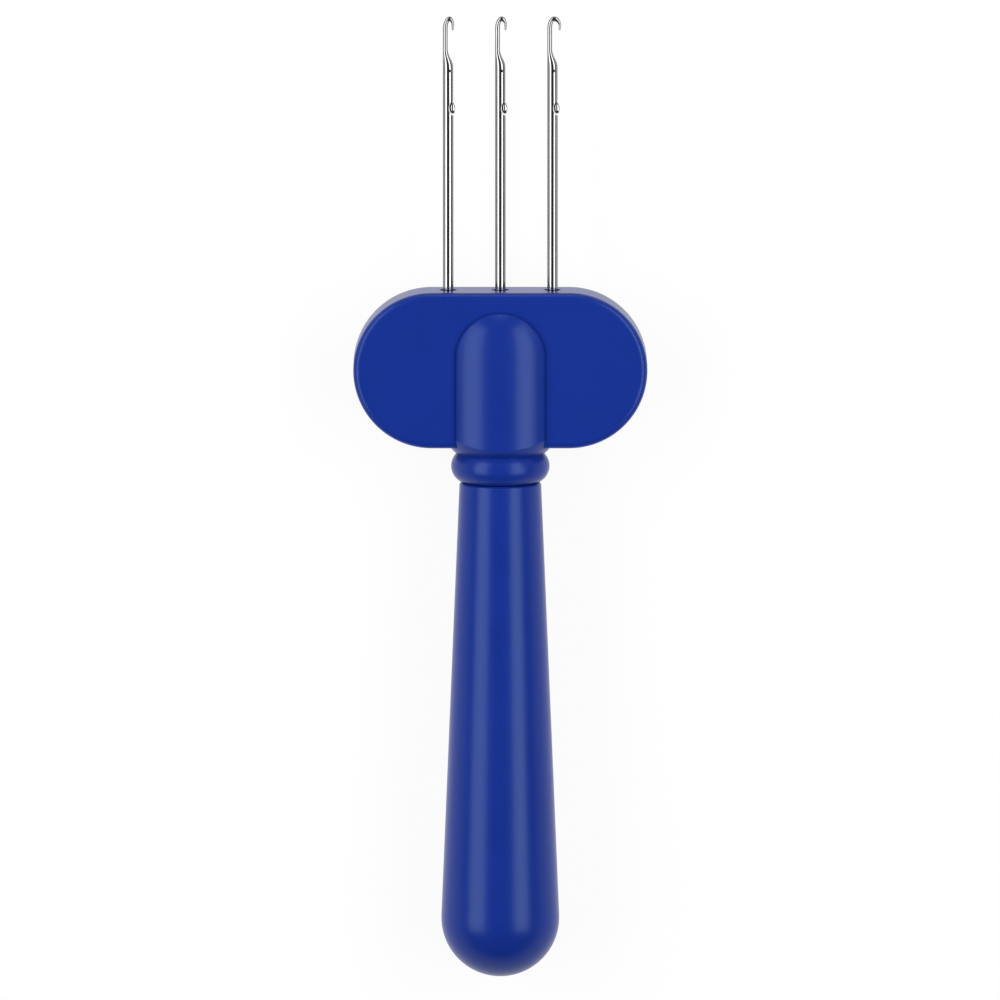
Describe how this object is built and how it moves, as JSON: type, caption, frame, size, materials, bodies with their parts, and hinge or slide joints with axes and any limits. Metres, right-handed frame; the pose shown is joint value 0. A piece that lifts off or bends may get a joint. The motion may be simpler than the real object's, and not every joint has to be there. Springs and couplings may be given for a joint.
{
  "type": "latch hook tool",
  "caption": "Hand tool with a row of latch needles in a flat stadium head on a round tapered handle; each needle's latch swings on a rivet to close its hook.",
  "frame": {"origin": "where the tool's long axis meets the face of the head that the needles stand out of", "axes": "+Y along the needles towards the hooks, +X across the row towards the side the hooks open to, +Z out of the front of the head; the tool lies on its back"},
  "size_m": [0.0564, 0.1856, 0.0226],
  "materials": {
    "blue_plastic": "moulded plastic, satin with a soft gloss",
    "needle_steel": "plated and polished",
    "latch_steel": "stamped steel, lightly polished"
  },
  "bodies": {
    "tool": {"head_front_shell": "blue_plastic", "head_back_shell": "blue_plastic", "handle": "blue_plastic", "left_needle": "needle_steel", "middle_needle": "needle_steel", "right_needle": "needle_steel", "left_rivet": "latch_steel", "middle_rivet": "latch_steel", "right_rivet": "latch_steel"},
    "left_latch": {"left_latch": "latch_steel"},
    "middle_latch": {"middle_latch": "latch_steel"},
    "right_latch": {"right_latch": "latch_steel"}
  },
  "joints": [
    {"name": "left_latch_swing", "type": "hinge", "parent": "tool", "child": "left_latch", "pos_m": [-0.00975, 0.0423, 0], "axis": [0, 0, 1], "range_deg": [0, 166]},
    {"name": "middle_latch_swing", "type": "hinge", "parent": "tool", "child": "middle_latch", "pos_m": [0.00025, 0.0423, 0], "axis": [0, 0, 1], "range_deg": [0, 165]},
    {"name": "right_latch_swing", "type": "hinge", "parent": "tool", "child": "right_latch", "pos_m": [0.01025, 0.0423, 0], "axis": [0, 0, 1], "range_deg": [0, 162.5]}
  ]
}
